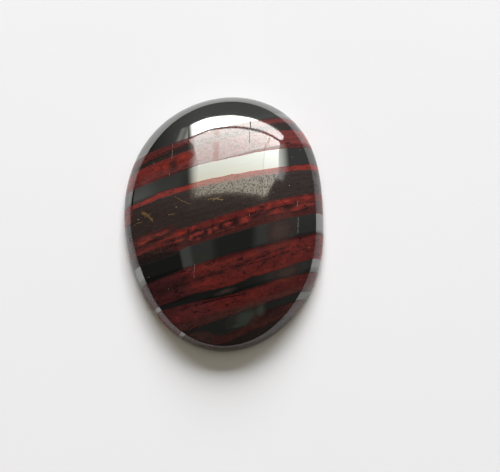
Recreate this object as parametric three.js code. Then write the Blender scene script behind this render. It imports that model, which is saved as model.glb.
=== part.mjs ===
// A polished oval stone of banded ironstone, in millimetres, resting on its flat back.
// +Y runs along the long axis, +Z up through the dome, and the origin is the bottom centre.

import * as THREE from 'three';

// Driving dimensions
const MEAN_RADIUS = 14.35;        // of the girdle, the widest line round the stone
const TOTAL_HEIGHT = 6.0;
const GIRDLE_HEIGHT = 0.6;
const DOME_EDGE_HEIGHT = 3.0;     // the line where the side wall turns into the dome
const DOME_EDGE_INSET = 1.01;     // mean distance of that line inside the girdle
const BACK_INSET = 0.8;           // from the girdle in to the flat back
const DOME_POWER = 2.4;           // 2 is a paraboloid, and more is flatter on top
const WALL_TOP_SLOPE = 57;        // degrees from level, at the top of the side wall
const EDGE_ROUNDING = 0.24;       // length taken off each side of the dome edge
const BEVEL_CORNER_HEIGHT = 0.13; // where the two tangents of the lower bevel meet

// Waves that turn the mean circle into the stone's own oval: how many lobes go round,
// how far each lobe stands out, and the direction of one lobe in degrees from +X.
const OUTLINE_WAVES = [
  { lobes: 2, height: 1.75, direction: 88.9 },   // the oval
  { lobes: 3, height: 0.27, direction: 43.7 },   // one end blunter than the other
  { lobes: 4, height: 0.15, direction: -19.9 },  // slightly square shoulders
  { lobes: 5, height: 0.09, direction: -21.2 },  // the hand-ground unevenness
];

// The side wall is wider where these waves stand out, in the same terms.
const INSET_WAVES = [
  { lobes: 2, height: 0.08, direction: -14 },    // wider at the sides than at the ends
  { lobes: 4, height: 0.11, direction: -43 },    // wider at the four shoulders
];

// Facets
const STEPS_ROUND = 108;
const STEPS_UP_BEVEL = 4;
const STEPS_UP_WALL = 6;
const STEPS_OVER_EDGE = 4;
const STEPS_TO_TOP = 14;

const STONE_FINISH = { color: 0x4a2322, roughness: 0.12, metalness: 0.25 };

const toRadians = THREE.MathUtils.degToRad;

function sumOfWaves(waves, angle) {
  let sum = 0;
  for (const wave of waves) {
    sum += wave.height * Math.cos(wave.lobes * (angle - toRadians(wave.direction)));
  }
  return sum;
}

function girdleRadius(angle) {
  return MEAN_RADIUS + sumOfWaves(OUTLINE_WAVES, angle);
}

function domeEdgeRadius(angle) {
  return girdleRadius(angle) - DOME_EDGE_INSET - sumOfWaves(INSET_WAVES, angle);
}

function backRadius(angle) {
  return girdleRadius(angle) - BACK_INSET;
}

const MEAN_EDGE_RADIUS = MEAN_RADIUS - DOME_EDGE_INSET;
const MEAN_BACK_RADIUS = MEAN_RADIUS - BACK_INSET;

function domeHeight(radius) {
  const share = radius / MEAN_EDGE_RADIUS;
  return DOME_EDGE_HEIGHT + (TOTAL_HEIGHT - DOME_EDGE_HEIGHT) * (1 - share ** DOME_POWER);
}

// The curves of the side, from the flat back up to the dome, each drawn in (radius, height).
function sideCurves() {
  const backRim = new THREE.Vector2(MEAN_BACK_RADIUS, 0);
  const girdle = new THREE.Vector2(MEAN_RADIUS, GIRDLE_HEIGHT);
  const bevelCorner = new THREE.Vector2(MEAN_RADIUS, BEVEL_CORNER_HEIGHT);
  const domeEdge = new THREE.Vector2(MEAN_EDGE_RADIUS, DOME_EDGE_HEIGHT);

  const wallSlope = toRadians(WALL_TOP_SLOPE);
  const downTheWall = new THREE.Vector2(Math.cos(wallSlope), -Math.sin(wallSlope));
  const wallCorner = domeEdge.clone();
  wallCorner.addScaledVector(downTheWall, DOME_EDGE_INSET / Math.cos(wallSlope));
  const wallTop = domeEdge.clone().addScaledVector(downTheWall, EDGE_ROUNDING);

  const domeStartRadius = MEAN_EDGE_RADIUS - EDGE_ROUNDING;
  const domeStart = new THREE.Vector2(domeStartRadius, domeHeight(domeStartRadius));

  return {
    bevel: new THREE.QuadraticBezierCurve(backRim, bevelCorner, girdle),
    wall: new THREE.QuadraticBezierCurve(girdle, wallCorner, wallTop),
    edge: new THREE.QuadraticBezierCurve(wallTop, domeEdge, domeStart),
    domeStartRadius,
  };
}

// The whole profile, from the middle of the back out, up and over to the top of the dome.
function stoneProfile() {
  const side = sideCurves();
  const profile = [new THREE.Vector2(0, 0)];
  profile.push(...side.bevel.getPoints(STEPS_UP_BEVEL));
  profile.push(...side.wall.getPoints(STEPS_UP_WALL).slice(1));
  profile.push(...side.edge.getPoints(STEPS_OVER_EDGE).slice(1));
  for (let step = 1; step < STEPS_TO_TOP; step += 1) {
    const radius = side.domeStartRadius * (1 - step / STEPS_TO_TOP);
    profile.push(new THREE.Vector2(radius, domeHeight(radius)));
  }
  profile.push(new THREE.Vector2(0, TOTAL_HEIGHT));
  return profile;
}

// Moves a point of the round stone out or in to the oval one. The dome and the back are
// scaled to their own outlines, and the side wall and bevel keep their distance from the girdle.
function ovalRadius(radius, height, angle) {
  const onDomeSide = height > GIRDLE_HEIGHT;
  const innerMean = onDomeSide ? MEAN_EDGE_RADIUS : MEAN_BACK_RADIUS;
  const innerOval = onDomeSide ? domeEdgeRadius(angle) : backRadius(angle);
  if (radius <= innerMean) {
    return radius * innerOval / innerMean;
  }
  const share = (radius - innerMean) / (MEAN_RADIUS - innerMean);
  return innerOval + share * (girdleRadius(angle) - innerOval);
}

function makeStone() {
  const geometry = new THREE.LatheGeometry(stoneProfile(), STEPS_ROUND);
  geometry.rotateX(Math.PI / 2);
  const places = geometry.attributes.position;
  for (let index = 0; index < places.count; index += 1) {
    const x = places.getX(index);
    const y = places.getY(index);
    const radius = Math.hypot(x, y);
    const angle = Math.atan2(y, x);
    const moved = ovalRadius(radius, places.getZ(index), angle);
    places.setXY(index, moved * Math.cos(angle), moved * Math.sin(angle));
  }
  geometry.computeBoundingBox();
  const middle = geometry.boundingBox.getCenter(new THREE.Vector3());
  geometry.translate(-middle.x, -middle.y, 0);
  geometry.computeVertexNormals();

  const stone = new THREE.Mesh(geometry, new THREE.MeshStandardMaterial(STONE_FINISH));
  stone.name = 'stone';
  return stone;
}

const part = new THREE.Group();
part.add(makeStone());

export default part;
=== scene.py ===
import math
from typing import NamedTuple

import bpy
from mathutils import Matrix, Vector


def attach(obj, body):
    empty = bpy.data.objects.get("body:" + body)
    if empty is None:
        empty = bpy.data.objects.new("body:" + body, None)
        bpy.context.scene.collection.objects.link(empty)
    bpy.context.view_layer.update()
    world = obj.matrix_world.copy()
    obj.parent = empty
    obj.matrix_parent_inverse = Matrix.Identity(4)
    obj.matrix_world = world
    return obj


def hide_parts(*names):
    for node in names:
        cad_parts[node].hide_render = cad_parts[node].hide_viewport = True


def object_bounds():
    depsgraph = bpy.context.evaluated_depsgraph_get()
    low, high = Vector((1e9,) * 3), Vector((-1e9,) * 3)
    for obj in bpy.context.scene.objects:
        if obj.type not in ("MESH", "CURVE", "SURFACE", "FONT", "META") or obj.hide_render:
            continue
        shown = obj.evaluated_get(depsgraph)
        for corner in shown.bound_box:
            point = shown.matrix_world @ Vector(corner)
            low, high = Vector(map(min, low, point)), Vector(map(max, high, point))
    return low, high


bl_info = {
    "name": "Polished Banded Ironstone",
    "version": (1, 0, 0),
    "blender": (4, 5, 0),
    "location": "3D View > Sidebar > Ironstone",
    "description": "Makes a polished oval stone of banded ironstone and the stage it lies on",
    "category": "Object",
}

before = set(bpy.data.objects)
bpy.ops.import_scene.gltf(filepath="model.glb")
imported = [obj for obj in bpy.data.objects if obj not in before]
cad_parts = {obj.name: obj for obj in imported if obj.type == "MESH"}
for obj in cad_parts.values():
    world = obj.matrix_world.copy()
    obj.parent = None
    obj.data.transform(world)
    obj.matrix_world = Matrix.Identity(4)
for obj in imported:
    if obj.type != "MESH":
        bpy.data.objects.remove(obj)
CAD_LOW, CAD_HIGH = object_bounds()

MM = 0.001
FULL_TURN = 2 * math.pi

# The camera, in millimetres in the stone's own frame, looking almost straight down on it.
CAMERA_PLACE = (5.222, -7.709, 180.0)
CAMERA_TARGET = (3.314, -1.476, 0.0)
CAMERA_LENS = 101.95

# Waves that turn the mean circle into the stone's oval: lobes round the stone, how far each lobe
# stands out in millimetres, and the direction of one lobe in degrees from +X.
OUTLINE_WAVES = (
    (2, 1.75, 88.9),    # the oval
    (3, 0.27, 43.7),    # one end blunter than the other
    (4, 0.15, -19.9),   # slightly square shoulders
    (5, 0.09, -21.2),   # the hand-ground unevenness
)

# The side wall is wider where these waves stand out, in the same terms.
WALL_WAVES = (
    (2, 0.08, -14.0),   # wider at the sides than at the ends
    (4, 0.11, -43.0),   # wider at the four shoulders
)

# Rows of the fine mesh along the back, the bevel, the wall, the dome's edge and the dome, and columns
# round the stone.
PROFILE_ROWS = (14, 8, 30, 12, 110)
COLUMNS = 400
MERGE_DISTANCE = 1e-7
RIPPLED_FROM = (0.5 * MM, 1.5 * MM)    # heights where the polish's ripple begins and is full

# The layers from the dark rounder end down. Each has the line of its upper edge as (x, s) points in
# millimetres and that edge's softness, then its share of jasper, its share of brown ironstone, and
# its brightness.
LAYERS = (
    ("first jasper", ((-9, 11.75), (0, 11.55), (5, 11.25), (9, 11.0)), 0.08, 0.76, 0.2, 0.45),
    ("first dark layer", ((-9, 10.6), (-8, 10.75), (1, 10.75), (6, 10.4), (9, 10.3)), 0.08, 0.0, 0.57, 0.48),
    ("second jasper", ((-8, 9.95), (-3, 9.95), (0, 9.8), (5, 9.55), (8, 9.2)), 0.08, 1.0, 0.0, 0.6),
    ("second jasper's dull foot", ((-10, 8.0), (0, 7.65), (9, 7.15)), 0.15, 0.95, 0.05, 0.5),
    ("grey hematite", ((-3, 7.45), (0, 7.2), (5, 6.93), (9.5, 6.6)), 0.07, 0.0, 0.0, 0.425),
    ("bright jasper seam", ((-10, 5.35), (-8, 5.6), (-5, 5.4), (0, 4.9), (6, 4.25), (10, 4.15)),
     0.12, 1.0, 0.0, 0.86),
    ("brown ironstone", ((-10, 4.75), (-8, 4.85), (-5, 4.75), (0, 4.2), (6, 3.6), (10, 3.4)),
     0.1, 0.0, 1.0, 0.5),
    ("third jasper", ((-10.5, 0.5), (-8.5, 0.65), (-7.2, 0.6), (-6.2, 0.15), (-5, -0.05), (0, 0.05),
                      (10, 0.15)),
     0.15, 1.0, 0.0, 0.57),
    ("black hematite", ((-9, -2.6), (-6, -2.5), (-4, -2.3), (10, -2.35)), 0.26, 0.0, 0.0, 0.8),
    ("fourth jasper", ((-9, -5.6), (-8, -5.45), (-5, -5.15), (0, -5.0), (5, -5.15), (10, -5.2)),
     0.24, 1.0, 0.0, 0.56),
    ("second black hematite", ((-8, -8.65), (-6, -8.5), (-4.5, -8.3), (-3, -8.35), (1, -8.6),
                               (2.5, -8.55), (3.6, -8.3), (5, -8.5), (7, -8.5), (9, -8.25)),
     0.12, 0.0, 0.0, 0.76),
    ("fifth jasper", ((-5, -9.3), (-2.5, -9.45), (0, -9.75), (6, -9.7), (10, -9.9)), 0.12, 1.0, 0.0, 0.58),
    ("mixed layer", ((-7, -11.25), (8, -11.3)), 0.42, 0.38, 0.58, 0.64),
    ("hematite lens", ((-4, -12.35), (0, -12.15), (3, -11.95), (8, -11.95)), 0.12, 0.0, 0.0, 1.0),
    ("sixth jasper", ((-3.5, -12.9), (-2, -13.2), (-1, -13.9), (0, -14.2), (3, -14.0), (5, -13.2),
                      (7.5, -12.9)),
     0.2, 0.45, 0.5, 0.55),
    ("olive foot", ((1, -15.0), (3, -14.6), (5, -14.5), (7, -14.2)), 0.15, 0.0, 0.6, 0.6),
)
CAP_MINERALS = (0.0, 0.0, 0.8)

# The layers rise to the right and dip away from the dark end, in millimetres a millimetre. They are
# charted at one height.
LAYER_RISE = 0.30
LAYER_DIP = 0.26
CHART_HEIGHT = 3.0

# How far the layers bend at a centimetre from the middle, in millimetres: up at both sides, a little
# more at the left one, and less towards the dark end. The twist makes them rise more towards that end.
TO_CM = 0.1
BEND = 0.30
BEND_SKEW = 0.04
BEND_CHANGE = 0.48
TWIST = 0.18

# Heights in millimetres where the look of the side wall ends and where that of the dome is full
DOME_LOOK = (1.6, 2.6)

THIRD_JASPER = (-2.2, 0.6, 0.15)    # its lower and upper s and their softness
BRAID_LEFT_END = (-5.4, -6.6)       # the x where this end begins and where it is full
WHOLE_WIDTH = (-14.0, -13.0)

# Zones drawn over the layers, in this order. Each has its lower and upper s and their softness, the x
# where it begins and where it is full, its strength, and then its shares as in a layer. None leaves a
# share as it is.
ZONES = (
    ("third jasper's left end", (-0.75, 0.9, 0.15), BRAID_LEFT_END, 0.9, 0.32, 0.68, 0.5),
    ("brown foot of that end", (-2.9, -1.5, 0.2), BRAID_LEFT_END, 0.95, 0.03, 0.8, 0.31),
    ("third jasper's lower strand", (-2.35, -0.8, 0.12), (-7.4, -5.6), 0.85, 0.6, 0.4, 0.36),
    ("maroon top of the fourth jasper", (-5.45, -4.8, 0.2), (-3.0, 0.0), 0.6, None, None, 0.24),
    ("maroon left end of the fourth jasper", (-8.7, -4.8, 0.2), (-2.5, -6.0), 0.62, None, None, 0.24),
    ("maroon top of the fifth jasper", (-9.9, -9.3, 0.15), WHOLE_WIDTH, 0.5, None, None, 0.24),
    ("maroon right end of the fifth jasper", (-11.3, -9.7, 0.15), (3.5, 7.0), 0.35, None, None, 0.24),
    ("dull end of the hematite lens", (-13.1, -11.8, 0.1), (5.0, 5.6), 1.0, None, None, 0.5),
    ("foot of the jasper seam on the wall", (3.0, 5.0, 0.25), (-11.2, -11.7), 0.9, 0.9, 0.1, 0.8),
    ("first jasper's bright end", (10.5, 11.5, 0.1), (3.5, 5.5), 1.0, None, None, 0.62),
)

# Bright jasper lenses in the third jasper: x, s, half length, half height.
JASPER_LENSES = (
    (-9.9, 0.1, 1, 0.42), (-7.8, 0.25, 0.9, 0.2), (-5.3, -0.6, 0.7, 0.26), (-5.45, -1.35, 0.5, 0.18),
    (-3.9, -1.5, 0.2, 0.3), (-3.05, -1.25, 0.7, 0.2), (-2.9, -1.85, 0.3, 0.14), (-1.55, -1.45, 0.22, 0.3),
    (-0.85, -1.08, 0.33, 0.2), (0.6, -1.2, 0.5, 0.2), (2.7, -1.35, 0.55, 0.36), (6.8, -1.3, 0.8, 0.3),
    (9, -1.5, 0.6, 0.22), (10.1, -1.25, 1, 0.26), (-3.7, -0.4, 0.25, 0.2), (0, -0.4, 0.3, 0.2),
    (3.6, -0.3, 0.65, 0.25), (5.6, -0.4, 0.4, 0.3), (7.5, -0.4, 0.9, 0.26), (10.4, -0.25, 0.6, 0.22),
)

# Dark places between them, in the same terms.
DARK_GAPS = (
    (-3.3, -0.9, 0.95, 0.15), (-1.2, -0.88, 0.6, 0.14), (0.9, -0.8, 0.8, 0.09), (-4.2, -0.75, 0.14, 0.35),
    (-2.1, -1.3, 0.2, 0.38), (-0.2, -1.2, 0.22, 0.38), (1.55, -1.3, 0.36, 0.45), (4.3, -1.1, 0.28, 0.16),
    (4.75, -0.72, 0.4, 0.1), (7.95, -1.1, 0.4, 0.25), (-3.3, -1.62, 0.35, 0.09), (-6.2, -1.15, 0.5, 0.1),
    (-6.3, -1.75, 0.7, 0.14), (-8.7, -0.35, 0.9, 0.13),
)

# Dark patches in the fourth jasper and the sixth, in the same terms.
DARK_PATCHES = (
    (-7.4, -7, 1.2, 0.36), (-5.4, -6.75, 1, 0.36), (-4.9, -6.25, 0.45, 0.3), (-2.8, -6.75, 0.7, 0.16),
    (-1.3, -6.6, 0.6, 0.28), (-0.2, -6.8, 0.5, 0.22), (2, -6.6, 0.75, 0.28), (2.9, -6.4, 0.5, 0.16),
    (4.8, -6.35, 0.7, 0.12), (5.2, -7.15, 0.25, 0.18), (7.4, -6.6, 0.33, 0.2), (7.3, -6.05, 0.3, 0.12),
    (5.9, -13.4, 1.6, 0.45),
)

# Bright places in the second jasper and the fourth, in the same terms.
BRIGHT_PATCHES = (
    (-7.7, 9.1, 0.9, 0.36), (-4.5, 9.35, 0.9, 0.3), (-4.2, -5.65, 0.7, 0.3), (-1.7, -5.8, 1.1, 0.36),
    (3.5, -5.7, 0.7, 0.3), (6.3, -6, 0.6, 0.3), (9, -6.2, 0.8, 0.3), (-1.9, -7.55, 1.6, 0.36),
    (8.9, -7.45, 1.3, 0.4),
)

# Pale places in the lowest hematite lens, in the same terms.
PALE_PATCHES = ((2.7, -12.85, 1.5, 0.8), (4.6, -12.6, 0.65, 0.6), (2.3, -13.5, 1.3, 0.3))

# Purple brown places in the black hematite, in the same terms.
BROWNISH_PATCHES = ((7.1, -3.7, 1.5, 1.6), (7.9, -9.1, 1.6, 0.8), (0.3, -9.2, 0.9, 0.22))

# Dull places in the second jasper, in the same terms.
DULL_PATCHES = ((-6.2, 8.75, 0.5, 0.75),)

# A place in the second jasper that has lost most of its polish, in the same terms.
WORN_PATCHES = ((-6, 9.1, 2.45, 0.75),)

# Golden veins in the brown ironstone: their lines as (x, s) points, and their half width.
GOLDEN_VEINS = (
    (((-11.3, 2.55), (-10.7, 2.7), (-10.1, 2.65)), 0.045),
    (((-10.2, 3.9), (-9.7, 3.5), (-9.4, 3.2), (-8.7, 2.3)), 0.24),
    (((-9.8, 3.1), (-9, 3.35)), 0.035),
    (((-6.75, 2.35), (-5.8, 2.1)), 0.05),
    (((-6, 4.5), (-5, 3.5), (-4, 2.7)), 0.045),
    (((-1.8, 2.6), (-1, 2.5), (-0.4, 2.2), (0.1, 2.05)), 0.075),
    (((-1.2, 2.35), (-0.2, 2.45)), 0.035),
)

# Thin dark lines along the layers, in the same terms.
DARK_LINES = (
    (((-9.5, 7.75), (-5, 7.5), (0, 7.35)), 0.05),
    (((-9.5, 10.65), (-5, 10.3), (0, 10.5), (5, 10.1)), 0.06),
    (((-9, 10.95), (-4, 10.75)), 0.05),
    (((-0.6, -1.95), (1.6, -2)), 0.05),
    (((-2.5, -9.7), (0, -9.9), (2.4, -10.1)), 0.07),
    (((2.9, -13.6), (3.3, -12.9), (3.9, -12)), 0.1),
    (((-4.8, -13), (-3.2, -12.3)), 0.06),
    (((-5.1, -12.6), (-3.6, -11.95)), 0.05),
    (((5.4, -0.9), (8.6, -0.85)), 0.05),
)

# Thin jasper lines in the darker layers, in the same terms.
JASPER_LINES = (
    (((-11, -1.4), (-9.5, -1.3), (-8.2, -0.95), (-6.8, -0.65), (-5.6, -0.5)), 0.23),
    (((-9, 0.35), (-6.8, 0.3)), 0.2),
    (((-1, -1.8), (1.6, -1.85)), 0.05),
    (((-4, 10.35), (0, 10.15), (4, 10)), 0.05),
)

# Cracks across the layers, dark and hair thin: their lines as (s, x) points, and their half width.
CRACKS = (
    (((10.5, 3.45), (11.7, 3.35)), 0.06),
    (((8.4, 3.3), (10, 3.3)), 0.03),
)

# Healed fractures in the second jasper, stained brown, in the same terms.
FRACTURES = (
    (((7.3, -0.85), (11.7, -0.8)), 0.38),
    (((7, 5.2), (8.7, 5.9)), 0.22),
)

# Scratches, in the same terms. Their grooves are rougher, and the glint of light in them is a painted
# highlight, drawn as a light colour.
SCRATCHES = (
    (((11.2, -6.3), (11.7, -6.3)), 0.035),
    (((9.6, -6.35), (10.9, -6.3)), 0.035),
    (((7.5, -6.65), (7.9, -6.6)), 0.035),
    (((-6.5, -3.55), (-4.9, -3.45)), 0.04),
    (((-1.2, 9.25), (-0.5, 9.3)), 0.055),
    (((-4.6, 9.3), (-2.7, 9.35)), 0.03),
    (((9.9, -8.7), (10.2, -8.6)), 0.05),
)

# Specks where a grain has been plucked out: x, s, radius. Their pits are rougher, and the glint of light in
# them is a painted highlight, drawn as a light colour.
SPECKS = (
    (-5.75, 3, 0.06), (-10.6, 3.15, 0.05), (8.25, 1.75, 0.05), (6.3, 1.2, 0.04), (7, 2.7, 0.04),
    (3.3, -0.8, 0.04), (10.7, -6.75, 0.06), (8.6, 5.3, 0.04), (-9.3, -4.7, 0.05), (-6.8, -6.9, 0.04),
    (9.6, 6.2, 0.04), (5.2, 3.1, 0.04),
)

# Linear colours of the marks
FRACTURE_BROWN = (0.24, 0.062, 0.03, 1.0)
CRACK_DARK = (0.015, 0.008, 0.008, 1.0)
SCRATCH_PAINTED_GLINT = (0.25, 0.2, 0.18, 1.0)
SPECK_PAINTED_GLINT = (0.3, 0.27, 0.24, 1.0)

# The polish: the hematite's roughness, what the others and the marks add to it, and the coat's
HEMATITE_ROUGHNESS = 0.04
JASPER_ROUGHNESS = 0.005
BROWN_ROUGHNESS = 0.05
MARK_ROUGHNESS = 0.15
COAT_ROUGHNESS = 0.04
PIT_DEPTH = 0.0013 * MM
QUARTZ_IOR = 1.55
MATT = {"Roughness": 0.9, "Specular IOR Level": 0.1}


def operator(name, swapped=False):
    """A Python operator that adds the Math node of this name."""
    def add_node(value, other):
        pair = (other, value) if swapped else (value, other)
        return value.graph.math(name, *pair)
    return add_node


class Value:
    """A node's output that Python arithmetic can use."""

    def __init__(self, graph, socket):
        self.graph = graph
        self.socket = socket

    __add__ = __radd__ = operator("ADD")
    __sub__ = operator("SUBTRACT")
    __rsub__ = operator("SUBTRACT", swapped=True)
    __mul__ = __rmul__ = operator("MULTIPLY")
    __truediv__ = operator("DIVIDE")
    __rtruediv__ = operator("DIVIDE", swapped=True)
    __pow__ = operator("POWER")


class Graph:
    """Adds nodes to one node tree."""

    def __init__(self, tree):
        self.tree = tree

    def node(self, kind, inputs=None, settings=None):
        """Adds a node, makes its settings, then fills its sockets with numbers or links."""
        node = self.tree.nodes.new(kind)
        for name, setting in (settings or {}).items():
            setattr(node, name, setting)
        for key, content in (inputs or {}).items():
            socket = node.inputs[key]
            if isinstance(content, Value):
                self.tree.links.new(content.socket, socket)
            else:
                socket.default_value = content
        return node

    def value(self, kind, inputs=None, settings=None, output=0):
        return Value(self, self.node(kind, inputs, settings).outputs[output])

    def math(self, operation, *values, clamp=False):
        settings = {"operation": operation, "use_clamp": clamp}
        return self.value("ShaderNodeMath", dict(enumerate(values)), settings)

    def highest(self, value, *others):
        for other in others:
            value = self.math("MAXIMUM", value, other)
        return value

    def vector_math(self, operation, *vectors):
        return self.value("ShaderNodeVectorMath", dict(enumerate(vectors)), {"operation": operation})

    def scaled(self, vector, scale):
        return self.value("ShaderNodeVectorMath", {0: vector, "Scale": scale}, {"operation": "SCALE"})

    def length(self, vector):
        return self.value("ShaderNodeVectorMath", {0: vector}, {"operation": "LENGTH"}, output=1)

    def vector(self, x, y, z):
        return self.value("ShaderNodeCombineXYZ", {"X": x, "Y": y, "Z": z})

    def parts(self, vector):
        node = self.node("ShaderNodeSeparateXYZ", {0: vector})
        return [Value(self, output) for output in node.outputs]

    def ramp(self, value, low, high):
        """0 where value is below low, 1 above high, and the other way round where low > high."""
        if low > high:
            inputs = {"Value": value, "From Min": high, "From Max": low, "To Min": 1.0, "To Max": 0.0}
        else:
            inputs = {"Value": value, "From Min": low, "From Max": high}
        return self.value("ShaderNodeMapRange", inputs, {"interpolation_type": "SMOOTHSTEP"})

    def between(self, value, low, high, softness):
        """1 where value lies between low and high, and 0 outside."""
        rise = self.ramp(value, low - softness, low + softness)
        return rise * self.ramp(value, high + softness, high - softness)

    def mix(self, factor, first, second):
        """A number between two others."""
        return first + (second - first) * factor

    def mix_colour(self, factor, first, second):
        inputs = {0: factor, 6: first, 7: second}
        return self.value("ShaderNodeMix", inputs, {"data_type": "RGBA"}, output=2)

    def noise(self, vector, scale=1.0, detail=2.0, roughness=0.5, seed=0.0):
        """Soft noise from 0 to 1. Another seed gives another pattern."""
        moved = self.vector_math("ADD", vector, (seed * 13.7, seed * 7.1, seed * 3.3)) if seed else vector
        inputs = {"Vector": moved, "Scale": scale, "Detail": detail, "Roughness": roughness}
        return self.value("ShaderNodeTexNoise", inputs)


def empty_graph(owner):
    """Empties the nodes of a material or a world, for its new ones."""
    owner.use_nodes = True
    owner.node_tree.nodes.clear()
    return Graph(owner.node_tree)


def add_object(name, data):
    item = bpy.data.objects.new(name, data)
    bpy.context.collection.objects.link(item)
    return item


# ---- The stone's shape


LENGTH_INPUTS = (
    "Mean Radius", "Total Height", "Girdle Height", "Dome Edge Height", "Dome Edge Inset", "Back Inset",
    "Bevel Corner Height", "Edge Rounding", "Polish Waviness", "Waviness Length",
)
WAVINESS_SEED = 4.0


def add_inputs(tree, rows):
    """Gives a tree its named inputs. A row has a name, a socket type, a default and a subtype."""
    for name, kind, default, subtype in rows:
        socket = tree.interface.new_socket(name, in_out="INPUT", socket_type=kind)
        if subtype:
            socket.subtype = subtype
        if default is not None:
            socket.default_value = default


def wave_inputs(title, waves):
    rows = []
    for lobes, height, direction in waves:
        rows.append((f"{title} Height {lobes}", "NodeSocketFloat", height * MM, "DISTANCE"))
        rows.append((f"{title} Direction {lobes}", "NodeSocketFloat", math.radians(direction), "ANGLE"))
    return rows


def sum_of_waves(graph, sizes, title, waves, angle):
    total = 0.0
    for lobes, _, _ in waves:
        turned = (angle - sizes[f"{title} Direction {lobes}"]) * lobes
        total = graph.math("COSINE", turned) * sizes[f"{title} Height {lobes}"] + total
    return total


def curve(share, start, corner, end):
    """One coordinate of a quadratic curve from start to end, whose tangents meet at the corner."""
    rest = 1.0 - share
    return rest * rest * start + 2.0 * share * rest * corner + share * share * end


def inner_radii(sizes):
    """Mean radii of the dome's edge and of the flat back."""
    mean = sizes["Mean Radius"]
    return mean - sizes["Dome Edge Inset"], mean - sizes["Back Inset"]


def profile(graph, sizes, row):
    """Radius and height of the round stone at each row."""
    mean = sizes["Mean Radius"]
    mean_edge, mean_back = inner_radii(sizes)
    girdle_height = sizes["Girdle Height"]
    edge_height = sizes["Dome Edge Height"]

    # The corners of the side's curves
    slope_cos = graph.math("COSINE", sizes["Wall Top Slope"])
    slope_sin = graph.math("SINE", sizes["Wall Top Slope"])
    wall_corner_drop = sizes["Dome Edge Inset"] * slope_sin / slope_cos
    wall_top_radius = mean_edge + slope_cos * sizes["Edge Rounding"]
    wall_top_height = edge_height - slope_sin * sizes["Edge Rounding"]
    dome_start = mean_edge - sizes["Edge Rounding"]

    def dome_height(radius):
        share = radius / mean_edge
        return edge_height + (sizes["Total Height"] - edge_height) * (1.0 - share ** sizes["Dome Power"])

    shares = []
    first_row = 0
    for count in PROFILE_ROWS:
        shares.append(graph.math("DIVIDE", row - first_row, count, clamp=True))
        first_row += count
    on_back, on_bevel, on_wall, on_edge, on_dome = shares

    # Each stretch adds how far it has gone from its own start.
    radius = (
        on_back * mean_back
        + (curve(on_bevel, mean_back, mean, mean) - mean_back)
        + (curve(on_wall, mean, mean_edge + sizes["Dome Edge Inset"], wall_top_radius) - mean)
        + (curve(on_edge, wall_top_radius, mean_edge, dome_start) - wall_top_radius)
        - on_dome * dome_start
    )
    start_height = dome_height(dome_start)
    height = (
        curve(on_bevel, 0.0, sizes["Bevel Corner Height"], girdle_height)
        + (curve(on_wall, girdle_height, edge_height - wall_corner_drop, wall_top_height) - girdle_height)
        + (curve(on_edge, wall_top_height, edge_height, start_height) - wall_top_height)
        + (dome_height(dome_start * (1.0 - on_dome)) - start_height)
    )
    return radius, height


def oval_radius(graph, sizes, row, angle, radius):
    """Moves a radius of the round stone out or in to the oval one."""
    mean = sizes["Mean Radius"]
    mean_edge, mean_back = inner_radii(sizes)
    girdle_oval = mean + sum_of_waves(graph, sizes, "Outline Wave", OUTLINE_WAVES, angle)
    wall_waves = sum_of_waves(graph, sizes, "Wall Wave", WALL_WAVES, angle)
    edge_oval = girdle_oval - sizes["Dome Edge Inset"] - wall_waves
    back_oval = girdle_oval - sizes["Back Inset"]
    dome_side = graph.math("GREATER_THAN", row, sum(PROFILE_ROWS[:2]))
    inner_mean = graph.mix(dome_side, mean_back, mean_edge)
    inner_oval = graph.mix(dome_side, back_oval, edge_oval)
    beyond = graph.highest((radius - inner_mean) / (mean - inner_mean), 0.0)
    inside = graph.math("MINIMUM", radius, inner_mean) * inner_oval / inner_mean
    return inside + beyond * (girdle_oval - inner_oval)


def rippled(graph, sizes, stone):
    """A hand-held polish leaves the dome very slightly wavy, which bends what it mirrors."""
    position = graph.value("GeometryNodeInputPosition")
    _, _, level = graph.parts(position)
    ripple = graph.noise(
        graph.vector_math("ADD", graph.scaled(position, 1.0 / sizes["Waviness Length"]),
                          graph.vector(sizes["Waviness Seed"], 0.0, 0.0)),
        detail=1.0,
    )
    above_back = graph.ramp(level, *RIPPLED_FROM)
    height_change = (0.5 - ripple) * 2.0 * sizes["Polish Waviness"] * above_back
    offset = graph.scaled(graph.value("GeometryNodeInputNormal"), height_change)
    return graph.value("GeometryNodeSetPosition", {"Geometry": stone, "Offset": offset})


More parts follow.
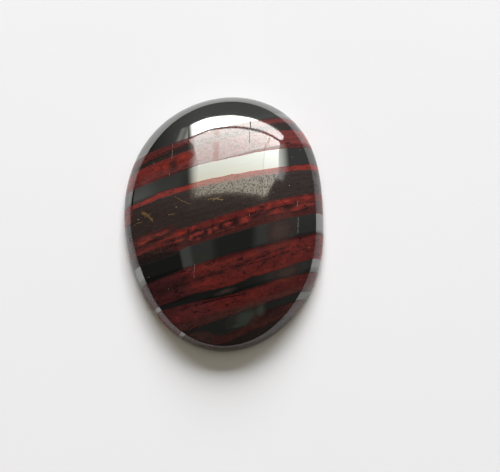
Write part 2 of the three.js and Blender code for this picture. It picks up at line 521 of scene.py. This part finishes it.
def stone_tree():
    """The tree that lays a grid over the stone: rows run from the middle of the back out, up the
    side and over to the top of the dome, and columns run round it."""
    tree = bpy.data.node_groups.new("Polished Oval Stone", "GeometryNodeTree")
    add_inputs(tree, [(name, "NodeSocketFloat", None, "DISTANCE") for name in LENGTH_INPUTS])
    add_inputs(tree, [
        ("Wall Top Slope", "NodeSocketFloat", None, "ANGLE"),
        ("Dome Power", "NodeSocketFloat", None, None),
        ("Waviness Seed", "NodeSocketFloat", None, None),
        ("Columns", "NodeSocketInt", COLUMNS, None),
        ("Finish", "NodeSocketMaterial", None, None),
    ])
    add_inputs(tree, wave_inputs("Outline Wave", OUTLINE_WAVES) + wave_inputs("Wall Wave", WALL_WAVES))
    tree.interface.new_socket("Stone", in_out="OUTPUT", socket_type="NodeSocketGeometry")

    graph = Graph(tree)
    entry = graph.node("NodeGroupInput")
    sizes = {socket.name: Value(graph, socket) for socket in entry.outputs if socket.name}

    rows = sum(PROFILE_ROWS)
    grid = graph.value("GeometryNodeMeshGrid", {
        "Size X": rows, "Size Y": 1.0, "Vertices X": rows + 1, "Vertices Y": sizes["Columns"],
    })
    grid_x, grid_y, _ = graph.parts(graph.value("GeometryNodeInputPosition"))
    row = grid_x + rows / 2
    angle = (0.5 - grid_y) * FULL_TURN    # clockwise, so that the faces look outward
    radius, height = profile(graph, sizes, row)
    oval = oval_radius(graph, sizes, row, angle, radius)
    place = graph.vector(oval * graph.math("COSINE", angle), oval * graph.math("SINE", angle), height)
    shaped = graph.value("GeometryNodeSetPosition", {"Geometry": grid, "Position": place})
    closed = graph.value("GeometryNodeMergeByDistance", {"Geometry": shaped, "Distance": MERGE_DISTANCE})
    box = graph.node("GeometryNodeBoundBox", {"Geometry": closed})
    low, high = (Value(graph, box.outputs[name]) for name in ("Min", "Max"))
    shift = graph.vector_math("MULTIPLY", graph.vector_math("ADD", low, high), (-0.5, -0.5, 0.0))
    centred = graph.value("GeometryNodeSetPosition", {"Geometry": closed, "Offset": shift})

    smooth = graph.value("GeometryNodeSetShadeSmooth", {"Geometry": rippled(graph, sizes, centred)})
    real = graph.value("GeometryNodeRealizeInstances", {"Geometry": smooth})
    dressed = graph.value("GeometryNodeSetMaterial", {"Geometry": real, "Material": sizes["Finish"]})
    graph.node("NodeGroupOutput", {"Stone": dressed})
    return tree


def set_input(modifier, name, value):
    for item in modifier.node_group.interface.items_tree:
        if item.name == name and item.in_out == "INPUT":
            modifier[item.identifier] = value
            return
    raise ValueError(f"the tree has no input named {name}")


def make_stone(size, finish):
    """Runs the tree once and keeps its result as a plain mesh."""
    carrier = add_object("stone_grid", bpy.data.meshes.new("stone_grid"))
    modifier = carrier.modifiers.new("Polished Oval Stone", "NODES")
    modifier.node_group = stone_tree()
    for name in (*LENGTH_INPUTS, "Wall Top Slope", "Dome Power"):
        set_input(modifier, name, getattr(size, name.lower().replace(" ", "_")))
    for name, value in (("Waviness Seed", WAVINESS_SEED), ("Columns", COLUMNS), ("Finish", finish)):
        set_input(modifier, name, value)
    for title, waves in (("Outline Wave", OUTLINE_WAVES), ("Wall Wave", WALL_WAVES)):
        for name, _, value, _ in wave_inputs(title, waves):
            set_input(modifier, name, value)

    shaped = carrier.evaluated_get(bpy.context.evaluated_depsgraph_get())
    mesh = bpy.data.meshes.new_from_object(shaped)
    mesh.name = "banded_ironstone"
    bpy.data.objects.remove(carrier)
    if not mesh.polygons:
        raise RuntimeError("the stone's tree made no faces")
    return add_object("banded_ironstone", mesh)


# ---- The stone's finish


def line_height(graph, along, points):
    """The height of a line through (along, height) points, level beyond its ends."""
    height = points[0][1]
    for (last, low), (next_one, high) in zip(points, points[1:]):
        rise = graph.value("ShaderNodeMapRange", {
            "Value": along, "From Min": last, "From Max": next_one, "To Max": high - low,
        })
        height = rise + height
    return height


class Bedding:
    """Where a point lies in the layering, in millimetres: x across the stone, s up through the
    layers (ragged has rougher edges), z up through the stone."""

    def __init__(self, graph):
        self.graph = graph
        metres = graph.value("ShaderNodeTexCoord", output="Object")
        self.place = graph.scaled(metres, 1.0 / MM)
        x, y, self.z = graph.parts(self.place)
        across = x * TO_CM
        along = y * TO_CM
        bend = across * across * (along * BEND_CHANGE + across * BEND_SKEW - BEND)
        sloped = y - x * LAYER_RISE - (self.z - CHART_HEIGHT) * LAYER_DIP
        flat = sloped + bend - across * along * TWIST
        wide = graph.noise(self.place, 0.22, seed=1.0) - 0.5
        near_place = graph.vector(x * 0.9, flat * 1.3, self.z * 0.9)
        near = graph.noise(near_place, detail=3.0, roughness=0.6, seed=2.0) - 0.5
        fine = graph.noise(self.place, 2.2, detail=3.0, roughness=0.65, seed=9.0) - 0.5
        s = flat + wide * 0.16 + near * 0.3
        # The chart that the layers and marks are drawn on.
        self.chart = graph.vector(x, s, s + fine * 0.3)
        self.x, self.s, self.ragged = graph.parts(self.chart)
        self.front = graph.ramp(self.z, *DOME_LOOK)
        self.wall = 1.0 - self.front

    def stretched(self, along, across):
        """Coordinates for a pattern with so many cells a millimetre along the layers and across them."""
        return self.graph.vector(self.x * along, self.ragged * across, self.z * along)


def ellipses(bed, spots, softness=0.35, raggedness=0.0):
    """1 inside any of the ellipses, which lie along the layers on the dome, and 0 elsewhere.
    Raggedness is a value that moves their outlines."""
    graph = bed.graph
    nearest = None
    for index, (x, s, half_length, half_height) in enumerate(spots):
        offset = graph.vector_math(
            "MULTIPLY_ADD", bed.chart,
            (1.0 / half_length, 0.0, 1.0 / half_height),
            (-x / half_length, 0.0, -s / half_height),
        )
        distance = graph.length(offset)
        nearest = graph.math("MINIMUM", nearest, distance) if index else distance
    return graph.ramp(nearest + raggedness, 1.0 + softness, 1.0 - softness) * bed.front


def lines(bed, along, across, paths):
    """1 on any of the lines on the dome, which are (along, across) points with a half width."""
    graph = bed.graph
    strongest = 0.0
    for points, half_width in paths:
        off_line = graph.math("ABSOLUTE", across - line_height(graph, along, points))
        line = graph.ramp(off_line, half_width * 1.3, half_width * 0.5)
        line = line * graph.between(along, points[0][0], points[-1][0], 0.12)
        strongest = graph.highest(line, strongest)
    return strongest * bed.front


class Minerals:
    """The shares of jasper and brown ironstone and the brightness at a point, as they are drawn."""

    def __init__(self, graph, bed):
        """Lays each layer over the one above it. A colour's channels carry the three."""
        self.graph = graph
        layered = (*CAP_MINERALS, 1.0)
        for _, edge, softness, *shares in LAYERS:
            below = graph.ramp(line_height(graph, bed.x, edge) - bed.s, -softness, softness)
            layered = graph.mix_colour(below, layered, (*shares, 1.0))
        node = graph.node("ShaderNodeSeparateColor", {0: layered})
        self.jasper, self.brown, self.brightness = (Value(graph, output) for output in node.outputs)

    def dielectric(self):
        return self.graph.math("ADD", self.jasper, self.brown, clamp=True)

    def blend(self, mask, jasper=None, brown=None, brightness=None):
        """Moves the given shares to new values where the mask is 1."""
        for name, share in (("jasper", jasper), ("brown", brown), ("brightness", brightness)):
            if share is not None:
                setattr(self, name, self.graph.mix(mask, getattr(self, name), share))


def add_zones(graph, bed, minerals):
    for _, span, begins_and_full, strength, *shares in ZONES:
        mask = graph.between(bed.s, *span) * graph.ramp(bed.x, *begins_and_full)
        minerals.blend(mask * strength, *shares)


def add_braid(graph, bed, minerals):
    """The third jasper's streaks, its mottled left end, and the bright lenses and dark gaps of its
    lower strand."""
    left = graph.ramp(bed.x, *BRAID_LEFT_END)
    third = graph.between(bed.s, *THIRD_JASPER)
    streaks = graph.noise(bed.stretched(0.9, 4.0), detail=3.0, roughness=0.6, seed=6.0)
    raggedness = (streaks - 0.5) * 1.5
    mottles = third * left * graph.ramp(streaks, 0.46, 0.58)
    minerals.blend(mottles * 0.7, jasper=0.3, brown=0.7, brightness=0.62)
    lenses = ellipses(bed, JASPER_LENSES, 0.7, raggedness)
    minerals.blend(lenses * 0.85, jasper=1.0 - left * 0.3, brown=left * 0.3, brightness=left * 0.3 + 1.13)
    gaps = ellipses(bed, DARK_GAPS, 0.9, raggedness)
    minerals.blend(gaps * 0.9, jasper=0.65, brown=0.35, brightness=0.17)
    minerals.blend(third * graph.ramp(streaks, 0.6, 0.72) * 0.6, brightness=0.24)
    minerals.blend(third * graph.ramp(streaks, 0.42, 0.3) * 0.5, brightness=0.9)


def add_patches(graph, bed, minerals):
    """The dark heart of the fourth jasper, and the patches of this and other layers."""
    ragged = graph.noise(bed.stretched(0.9, 1.9), detail=4.0, roughness=0.7, seed=7.0)
    unevenness = ragged - 0.5
    bright = ellipses(bed, BRIGHT_PATCHES, 0.8, unevenness * 2.0)
    minerals.blend(bright, brightness=0.69)
    heart = graph.between(bed.s, -7.25, -6.1, 0.35)
    scattered = heart * (graph.ramp(ragged, 0.48, 0.64) * 0.6 + graph.ramp(bed.x, -3.0, -6.0) * 0.4)
    patches = ellipses(bed, DARK_PATCHES, 0.8, unevenness * 2.4)
    dark = graph.highest(scattered, patches * 0.85)
    minerals.blend(dark, jasper=0.5, brown=0.5, brightness=0.2)
    pale_end = graph.between(bed.s, 5.75, 7.5, 0.1) * graph.ramp(bed.x, -7.5, -10.0) * bed.front
    minerals.blend(pale_end, brightness=0.65)
    brownish = ellipses(bed, BROWNISH_PATCHES, 0.8, unevenness)
    minerals.blend(brownish, jasper=0.02, brown=0.6, brightness=1.15)
    dull = ellipses(bed, DULL_PATCHES, 0.9, unevenness * 1.2)
    minerals.blend(dull, jasper=0.55, brown=0.45, brightness=0.25)
    grey_foot = graph.between(bed.s, -14.8, -12.7, 0.15) * graph.ramp(bed.x, -0.4, -1.8)
    grey_foot = grey_foot * graph.ramp(minerals.jasper, 0.2, 0.4)
    minerals.blend(grey_foot, jasper=0.14, brown=0.8, brightness=0.72)


def add_lines(graph, bed, minerals):
    dark = lines(bed, bed.x, bed.ragged, DARK_LINES)
    minerals.blend(dark * 0.8, jasper=0.6, brightness=0.1)
    red = lines(bed, bed.x, bed.ragged, JASPER_LINES)
    broken = graph.noise(bed.stretched(1.4, 2.4), detail=3.0, roughness=0.6, seed=8.0)
    minerals.blend(red * graph.ramp(broken, 0.34, 0.46), jasper=0.72, brown=0.28, brightness=0.82)


def mottled_brightness_with_painted_wall_light(graph, bed, minerals, grain, mottle):
    """Fine laminae run through every layer, with dark mottles and a still finer grain in the jasper."""
    jasper = minerals.jasper
    laminae = graph.noise(bed.stretched(0.18, 3.0), detail=4.0, roughness=0.7, seed=3.0)
    mottling = 1.0 + jasper * (graph.ramp(mottle, 0.46, 0.3) * 0.4 - graph.ramp(mottle, 0.52, 0.7) * 0.75)
    mottling = mottling + minerals.brown * (0.5 - mottle) * 0.9
    brightness = minerals.brightness * (1.0 + (laminae - 0.5) * (minerals.dielectric() * 0.8 + 0.15))
    brightness = brightness * mottling * (1.0 + minerals.dielectric() * (grain - 0.5) * 1.1)
    # Painted light: the jasper on the side wall is drawn lighter, as if more light fell on the wall.
    return brightness * (1.0 + bed.wall * jasper * 0.8)


def body_colour(graph, bed, minerals, colours, brightness, worn):
    """The colour of the jasper and the brown ironstone. The worn jasper is the reddest, and it turns
    purpler towards the pointed end's left."""
    purple = graph.ramp(bed.x + bed.s * 0.875, -9.0, -12.0)
    redness = brightness + worn * 0.4 - purple * 0.42
    jasper_hue = graph.mix_colour(redness, (*colours.deep_jasper, 1.0), (*colours.bright_jasper, 1.0))
    jasper_colour = graph.scaled(jasper_hue, brightness * (1.0 + purple * 0.2))
    brown_colour = graph.scaled((*colours.brown,), brightness * 2.0)
    jasper_share = minerals.jasper / (minerals.jasper + minerals.brown)
    return graph.mix_colour(jasper_share, brown_colour, jasper_colour)


class Marks:
    """Where the golden veins, healed fractures, cracks, scratches and plucked specks are."""

    def __init__(self, graph, bed, minerals, grain):
        self.graph = graph
        golden = lines(bed, bed.x, bed.ragged, GOLDEN_VEINS)
        self.golden = golden * graph.ramp(grain, 0.3, 0.6) * 0.8
        fracture = lines(bed, bed.ragged, bed.x, FRACTURES)
        self.fracture = fracture * minerals.jasper * graph.ramp(grain, 0.3, 0.6)
        self.crack = lines(bed, bed.s, bed.x, CRACKS)
        self.scratch = lines(bed, bed.s, bed.x, SCRATCHES) * graph.ramp(grain, 0.3, 0.5)
        self.speck = ellipses(bed, [(x, s, radius, radius) for x, s, radius in SPECKS])
        self.rough = graph.highest(self.golden, self.crack, self.scratch, self.speck)

    def drawn_on(self, colour, golden_vein):
        for mask, tint in (
            (self.golden, (*golden_vein, 1.0)),
            (self.fracture * 0.7, FRACTURE_BROWN),
            (self.crack, CRACK_DARK),
            # The scratches' light colour is a painted highlight, the glint of light in their grooves.
            (self.scratch * 0.6, SCRATCH_PAINTED_GLINT),
            # The specks' light colour is a painted highlight, the glint of light in their pits.
            (self.speck, SPECK_PAINTED_GLINT),
        ):
            colour = self.graph.mix_colour(mask, colour, tint)
        return colour


def polished_surface(graph, bed, minerals, marks, colour, metal, worn):
    """The brown layer takes a poorer polish than the jasper, the jasper than the hematite, and the wall
    than the dome. Tiny matt pits break up what the polish mirrors."""
    jasper = minerals.jasper
    brown = minerals.brown
    uneven = graph.noise(bed.place, 4.8, roughness=0.65, seed=5.0)
    relief = graph.math("ADD", brown + jasper * 0.3, 0.03, clamp=True)
    bump = graph.value("ShaderNodeBump", {"Strength": relief, "Distance": PIT_DEPTH, "Height": uneven})
    roughness = brown * BROWN_ROUGHNESS + jasper * JASPER_ROUGHNESS + marks.rough * MARK_ROUGHNESS

    # The compact jasper near the dark end has the glossiest skin.
    glossy = graph.ramp(bed.x, -3.9, -3.3) * 0.9 + graph.ramp(bed.x, -8.6, -9.4) * 0.45 + 0.08
    glossy = glossy * graph.between(bed.s, 7.3, 12.0, 0.1)
    coat = glossy * (1.0 - marks.fracture * 0.6) + brown * 0.28

    polished = graph.value("ShaderNodeBsdfPrincipled", {
        "Base Color": colour,
        "Metallic": metal * (1.0 - marks.rough),
        "Roughness": roughness + HEMATITE_ROUGHNESS,
        "IOR": QUARTZ_IOR,
        "Coat Weight": coat * (1.0 - marks.rough),
        "Coat Roughness": COAT_ROUGHNESS,
        "Normal": bump,
    })
    matt = graph.value("ShaderNodeBsdfPrincipled", {"Base Color": colour, **MATT})
    pits = graph.ramp(uneven, 0.43, 0.64) * (graph.ramp(brown, 0.3, 1.0) * 0.7 + jasper * 0.26)
    pits = pits * (0.35 + bed.front * 0.65)
    chipped = marks.crack + marks.scratch * 0.5 + marks.fracture * 0.35
    worn_share = worn * 0.75 + bed.wall * (jasper * 0.2 + 0.1)
    unpolished = graph.highest(pits, chipped, worn_share)
    return graph.value("ShaderNodeMixShader", {0: unpolished, 1: polished, 2: matt})


def stone_finish(colours):
    material = bpy.data.materials.new("polished_ironstone")
    graph = empty_graph(material)
    bed = Bedding(graph)
    minerals = Minerals(graph, bed)
    for add in (add_zones, add_braid, add_patches, add_lines):
        add(graph, bed, minerals)

    grain = graph.noise(bed.stretched(4.0, 6.0), roughness=0.6, seed=4.0)
    mottle = graph.noise(bed.stretched(1.0, 2.0), detail=4.0, roughness=0.68, seed=10.0)
    brightness = mottled_brightness_with_painted_wall_light(graph, bed, minerals, grain, mottle)
    worn = ellipses(bed, WORN_PATCHES, 0.1)
    pale = ellipses(bed, PALE_PATCHES, 0.7, (mottle - 0.5) * 0.8)
    body = body_colour(graph, bed, minerals, colours, brightness, worn)
    body = graph.mix_colour(pale, body, (*colours.pale_hematite, 1.0))
    metal = (1.0 - minerals.dielectric()) * (1.0 - pale * 0.8)
    # Where they are mixed, the hematite's strong colour would shine through the others' body.
    hematite_colour = graph.scaled((*colours.hematite,), brightness * 2.0)
    colour = graph.mix_colour(metal ** 6.0, body, hematite_colour)
    marks = Marks(graph, bed, minerals, grain)
    colour = marks.drawn_on(colour, colours.golden_vein)
    shader = polished_surface(graph, bed, minerals, marks, colour, metal, worn)
    graph.node("ShaderNodeOutputMaterial", {"Surface": shader})
    return material


# ---- The stage


FLOOR_DROP = 0.02 * MM
ROOM_DARK_TINT = (1.0, 0.97, 0.9, 1.0)
ROOM_LIT_TINT = (1.0, 0.985, 1.0, 1.0)

PANEL_TINT = (1.0, 1.0, 0.955)
WARM = (1.0, 0.925, 0.74)
PANEL_HEIGHT = 0.45
PANEL_STEP = 0.001    # from each panel up to the next, where they overlap

# The key light lies behind the stone's dark end and throws its shadow, and the fill light hangs
# overhead. Each has its middle and its width and depth, in metres, and its tint.
KEY_LIGHT = ((0.0875, 2.575, 1.0), (1.075, 3.05), (0.99, 0.99, 1.0))
FILL_LIGHT = ((0.0, 0.0, 1.5), (2.0, 2.0), (1.0, 0.87, 0.58))


def plain_paper(colour):
    material = bpy.data.materials.new("plain_paper")
    graph = empty_graph(material)
    mottle = graph.noise(graph.value("ShaderNodeTexCoord", output="Object"), 60.0, detail=3.0)
    tint = graph.mix_colour(mottle, (*(channel * 0.985 for channel in colour), 1.0), (*colour, 1.0))
    shader = graph.value("ShaderNodeBsdfPrincipled", {"Base Color": tint, **MATT})
    graph.node("ShaderNodeOutputMaterial", {"Surface": shader})
    return material


class Panel(NamedTuple):
    """A lit panel that the polish mirrors. It is set out as seen from the stone: how far each corner
    lies to the side and back for each unit of height."""

    name: str
    radiance: float
    corners: tuple
    sides: tuple = (1.0, 1.0)             # share of the radiance at the left and right sides
    ends: tuple = (1.0, 1.0)              # and at the near and far ends
    near_tint: tuple = (1.0, 1.0, 1.0)    # tint of the near end
    lean: float = 0.0                     # how far the lines of equal light lean with the height
    span: tuple = (0.0, 1.0)              # the shares of the width that the two sides lie at
    fade: float = 0.0                     # share of the width over which both sides fade out
    folds: float = 0.0                    # soft folds across it, as of a curtain


def panel_light(panel):
    material = bpy.data.materials.new(panel.name)
    graph = empty_graph(material)
    across, along, _ = graph.parts(graph.value("ShaderNodeTexCoord", output="Generated"))
    sideways = graph.ramp(across + along * panel.lean, *panel.span)
    share = graph.mix(sideways, *panel.sides) * graph.mix(along * along, *panel.ends)
    if panel.folds:
        share = share * (0.75 + graph.math("SINE", across * panel.folds * FULL_TURN) * 0.25)
    tint = graph.mix_colour(graph.ramp(along, 0.0, 0.5), (*panel.near_tint, 1.0), (*PANEL_TINT, 1.0))
    surface = graph.value("ShaderNodeEmission", {
        "Color": graph.scaled(tint, share), "Strength": panel.radiance,
    })
    if panel.fade:
        shown = graph.ramp(across, 0.0, panel.fade) * graph.ramp(across, 1.0, 1.0 - panel.fade)
        clear = graph.value("ShaderNodeBsdfTransparent")
        surface = graph.value("ShaderNodeMixShader", {0: shown, 1: clear, 2: surface})
    graph.node("ShaderNodeOutputMaterial", {"Surface": surface})
    return material


# Edges that neighbouring panels share, each from its far end to its near end
BAR = (
    (0.505, 0.885), (0.474, 0.778), (0.438, 0.629), (0.408, 0.502), (0.393, 0.393), (0.383, 0.314),
    (0.37, 0.165),
)
BAR_HALF_WIDTH = 0.007
LEFT_EDGE = (
    (-0.58, 0.90), (-0.465, 0.756), (-0.39, 0.614), (-0.34, 0.512), (-0.31, 0.386), (-0.30, 0.314),
    (-0.27, 0.251), (-0.25, 0.2),
)
RIGHT_EDGE = ((0.775, 0.79), (0.722, 0.679), (0.704, 0.541), (0.696, 0.442), (0.636, 0.329))

PANELS = (
    Panel("softbox_bar", 9.3, (
        *((x + BAR_HALF_WIDTH, y) for x, y in BAR), *((x - BAR_HALF_WIDTH, y) for x, y in reversed(BAR)),
    ), ends=(0.45, 1.0), near_tint=WARM),
    Panel("softbox_top", 10.3, (
        (-0.68, 1.21), (-0.35, 1.24), (-0.05, 1.22), (0.25, 1.17), (0.60, 1.09), (0.80, 1.02),
        (0.905, 0.965), (0.875, 0.90), (0.79, 0.872), (0.57, 0.922), (0.39, 0.953), (0.03, 0.985),
        (-0.29, 0.99), (-0.58, 0.94),
    ), sides=(0.04, 1.0), lean=0.085, span=(0.07, 0.16)),
    Panel("softbox_left", 11.8, (
        (-0.29, 0.945), (0.03, 0.94), (0.37, 0.905), *BAR, (0.265, 0.182), (0.116, 0.19),
        (-0.186, 0.195), *reversed(LEFT_EDGE),
    ), sides=(0.77, 0.98), ends=(0.48, 1.0), near_tint=WARM),
    Panel("softbox_right", 11.7, (
        (0.57, 0.875), (0.755, 0.832), *RIGHT_EDGE, (0.507, 0.229), (0.454, 0.173), *reversed(BAR),
    ), ends=(0.49, 1.0), near_tint=WARM),
    Panel("curtain_left", 1.1, (
        (-1.0, 1.20), (-0.84, 1.22), (-0.69, 1.20), (-0.59, 0.87), (-0.70, 0.89), (-0.86, 0.93),
    ), sides=(0.15, 1.0), folds=2.5),
    Panel("frame_left", 4.9, (
        *LEFT_EDGE, (-0.38, 0.2), (-0.43, 0.34), (-0.48, 0.46), (-0.55, 0.66), (-0.61, 0.88),
    ), sides=(0.06, 1.0), ends=(1.0, 0.25), near_tint=WARM, lean=0.68, span=(0.63, 1.06)),
    Panel("frame_right", 4.2, (
        (0.90, 0.83), (1.0, 0.76), (1.03, 0.59), (0.966, 0.45), (0.80, 0.329), *reversed(RIGHT_EDGE),
    ), sides=(1.0, 0.05)),
    Panel("wall_left", 0.37, (
        (-2.4, 0.70), (-0.9, 0.66), (-0.55, 0.60), (-0.42, 0.25), (-2.3, 0.25),
    ), sides=(1.0, 0.75), ends=(1.0, 0.4), fade=0.1),
    Panel("near_strip_left", 0.17, (
        (-0.59, -0.32), (-0.37, -0.30), (-0.38, -0.08), (-0.62, -0.10),
    ), fade=0.3),
    Panel("near_block_left", 0.095, (
        (-0.50, -0.26), (-0.06, -0.24), (-0.07, 0.04), (-0.51, 0.02),
    ), near_tint=WARM, fade=0.25),
    Panel("near_block_right", 0.125, (
        (0.2, -0.18), (1.1, -0.18), (1.1, 0.18), (0.22, 0.16),
    ), fade=0.15),
    Panel("near_block_middle", 0.05, (
        (-0.2, -0.3), (0.5, -0.3), (0.5, 0.15), (-0.2, 0.15),
    ), fade=0.2),
)


def make_panel(panel, height):
    corners = [(x * height, y * height, height) for x, y in panel.corners]
    mesh = bpy.data.meshes.new(panel.name)
    mesh.from_pydata(corners, [], [list(range(len(corners)))])
    mesh.materials.append(panel_light(panel))
    item = add_object(panel.name, mesh)
    item.visible_camera = False
    item.visible_diffuse = False
    item.visible_shadow = False
    return item


def make_area_light(name, power, place, size, tint):
    """A level light that shines down. What the polish mirrors comes from the panels, so it doesn't
    show in it."""
    data = bpy.data.lights.new(name, "AREA")
    data.shape = "RECTANGLE"
    data.size, data.size_y = size
    data.energy = power
    data.color = tint
    lamp = add_object(name, data)
    lamp.visible_glossy = False
    lamp.location = place


def make_floor(settings):
    mesh = bpy.data.meshes.new("floor")
    half = settings.floor_width / 2
    corners = [(x, y, -FLOOR_DROP) for x, y in ((-half, -half), (half, -half), (half, half), (-half, half))]
    mesh.from_pydata(corners, [], [(0, 1, 2, 3)])
    mesh.materials.append(plain_paper(settings.floor_colour))
    return add_object("floor", mesh)


def make_room(settings):
    """A dim room, lighter behind the stone and on its right."""
    world = bpy.data.worlds.new("dim_room")
    graph = empty_graph(world)
    side, back, _ = graph.parts(graph.value("ShaderNodeTexCoord", output="Generated"))
    lit = graph.ramp(back, 0.0, 0.4) * graph.ramp(side, -0.9, -0.3) + graph.ramp(side, 0.1, 0.7) * 0.3
    strength = settings.room_darkest + (settings.room_lightest - settings.room_darkest) * lit
    tint = graph.mix_colour(lit, ROOM_DARK_TINT, ROOM_LIT_TINT)
    background = graph.value("ShaderNodeBackground", {"Color": tint, "Strength": strength})
    graph.node("ShaderNodeOutputWorld", {"Surface": background})
    bpy.context.scene.world = world


def make_camera():
    data = bpy.data.cameras.new("camera")
    data.lens = CAMERA_LENS
    data.clip_start = 0.01
    place = Vector(CAMERA_PLACE) * MM
    aim = Vector(CAMERA_TARGET) * MM - place
    right = aim.cross(Vector((0.0, 1.0, 0.0))).normalized()
    up = right.cross(aim).normalized()
    turn = Matrix((right, up, -aim.normalized())).transposed()
    camera = add_object("camera", data)
    camera.matrix_world = Matrix.Translation(place) @ turn.to_4x4()
    bpy.context.scene.camera = camera


# ---- The add-on


def number(name, description, value, **kind):
    return bpy.props.FloatProperty(name=name, description=description, default=value, **kind)


def length(name, description, millimetres):
    kind = {"unit": "LENGTH", "subtype": "DISTANCE", "precision": 5}
    return number(name, description, millimetres * MM, min=0.0, **kind)


def swatch(name, description, value):
    return bpy.props.FloatVectorProperty(
        name=name, description=description, default=value, size=3, min=0.0, max=1.0, subtype="COLOR",
    )


class IronstoneSize(bpy.types.PropertyGroup):
    mean_radius: length("Mean Radius", "Mean radius of the girdle, the widest line round the stone", 14.35)
    total_height: length("Total Height", "From the flat back to the top", (CAD_HIGH[2] - CAD_LOW[2]) / MM)
    girdle_height: length("Girdle Height", "How high the widest line lies", 0.6)
    dome_edge_height: length("Dome Edge Height", "How high the side wall ends", 3.0)
    dome_edge_inset: length("Dome Edge Inset", "How far the dome's edge lies inside the girdle", 1.01)
    back_inset: length("Back Inset", "How far the flat back ends inside the girdle", 0.8)
    bevel_corner_height: length("Bevel Corner Height", "Where the lower bevel's tangents meet", 0.13)
    edge_rounding: length("Edge Rounding", "Length taken off each side of the dome's edge", 0.24)
    wall_top_slope: number("Wall Top Slope", "Slope at its top", math.radians(57.0), subtype="ANGLE")
    dome_power: number("Dome Power", "2 is a paraboloid, and more is flatter on top", 2.4)
    polish_waviness: length("Polish Waviness", "How far the hand polish wanders in and out", 0.003)
    waviness_length: length("Waviness Length", "Distance from one ripple of the polish to the next", 3.5)


class IronstoneColours(bpy.types.PropertyGroup):
    hematite: swatch("Hematite", "Mirror colour of the grey layers", (0.155, 0.159, 0.152))
    brown: swatch("Brown Ironstone", "Body colour of the brown layer", (0.031, 0.0215, 0.019))
    deep_jasper: swatch("Deep Jasper", "Hue of the darkest jasper", (0.15, 0.035, 0.037))
    pale_hematite: swatch("Pale Hematite", "Pale places in the lowest grey lens", (0.06, 0.073, 0.062))
    golden_vein: swatch("Golden Vein", "Colour of the thin golden veins", (0.205, 0.122, 0.05))
    bright_jasper: swatch("Bright Jasper", "Hue of the brightest jasper", (0.226, 0.0262, 0.018))


class IronstoneStage(bpy.types.PropertyGroup):
    floor_width: length("Floor Width", "Side of the square floor", 3000.0)
    floor_colour: swatch("Floor Colour", "Colour of the plain paper", (0.92, 0.928, 0.962))
    key_light_power: number("Key Light Power", "Soft light behind the dark end", 185.0, unit="POWER")
    fill_light_power: number("Fill Light Power", "Weak light overhead", 4.3, unit="POWER")
    room_darkest: number("Room, Dark Side", "Radiance of the room opposite the softbox", 0.035)
    room_lightest: number("Room, Lit Side", "Radiance of the room beside the softbox", 0.22)


class IRONSTONE_OT_make_stone(bpy.types.Operator):
    """Make the polished oval stone and its finish"""

    bl_idname = "ironstone.make_stone"
    bl_label = "Make Stone"

    def execute(self, context):
        finish = stone_finish(context.scene.ironstone_colours)
        stone = make_stone(context.scene.ironstone_size, finish)
        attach(stone, "root")
        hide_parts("stone")
        return {"FINISHED"}


class IRONSTONE_OT_set_stage(bpy.types.Operator):
    """Set out the floor, the softbox, the room and the camera"""

    bl_idname = "ironstone.set_stage"
    bl_label = "Set Stage"

    def execute(self, context):
        settings = context.scene.ironstone_stage
        make_floor(settings)
        for index, panel in enumerate(PANELS):
            make_panel(panel, PANEL_HEIGHT + index * PANEL_STEP)
        make_area_light("key_light", settings.key_light_power, *KEY_LIGHT)
        make_area_light("fill_light", settings.fill_light_power, *FILL_LIGHT)
        make_room(settings)
        make_camera()
        context.scene.view_settings.view_transform = "Standard"
        return {"FINISHED"}


class IRONSTONE_PT_panel(bpy.types.Panel):
    """Lists the steps that make the stone and its stage"""

    bl_idname = "IRONSTONE_PT_panel"
    bl_label = "Banded Ironstone"
    bl_space_type = "VIEW_3D"
    bl_region_type = "UI"
    bl_category = "Ironstone"

    def draw(self, context):
        layout = self.layout
        scene = context.scene
        for group in (scene.ironstone_size, scene.ironstone_colours, scene.ironstone_stage):
            box = layout.box()
            for name in group.__annotations__:
                box.prop(group, name)
        for step in OPERATORS:
            layout.operator(step.bl_idname)


OPERATORS = (IRONSTONE_OT_make_stone, IRONSTONE_OT_set_stage)
CLASSES = (IronstoneSize, IronstoneColours, IronstoneStage, *OPERATORS, IRONSTONE_PT_panel)


def register():
    for item in CLASSES:
        bpy.utils.register_class(item)
    bpy.types.Scene.ironstone_size = bpy.props.PointerProperty(type=IronstoneSize)
    bpy.types.Scene.ironstone_colours = bpy.props.PointerProperty(type=IronstoneColours)
    bpy.types.Scene.ironstone_stage = bpy.props.PointerProperty(type=IronstoneStage)


def unregister():
    del bpy.types.Scene.ironstone_stage
    del bpy.types.Scene.ironstone_colours
    del bpy.types.Scene.ironstone_size
    for item in reversed(CLASSES):
        bpy.utils.unregister_class(item)


def main():
    register()
    bpy.ops.ironstone.make_stone()
    bpy.ops.ironstone.set_stage()


if __name__ == "__main__":
    main()
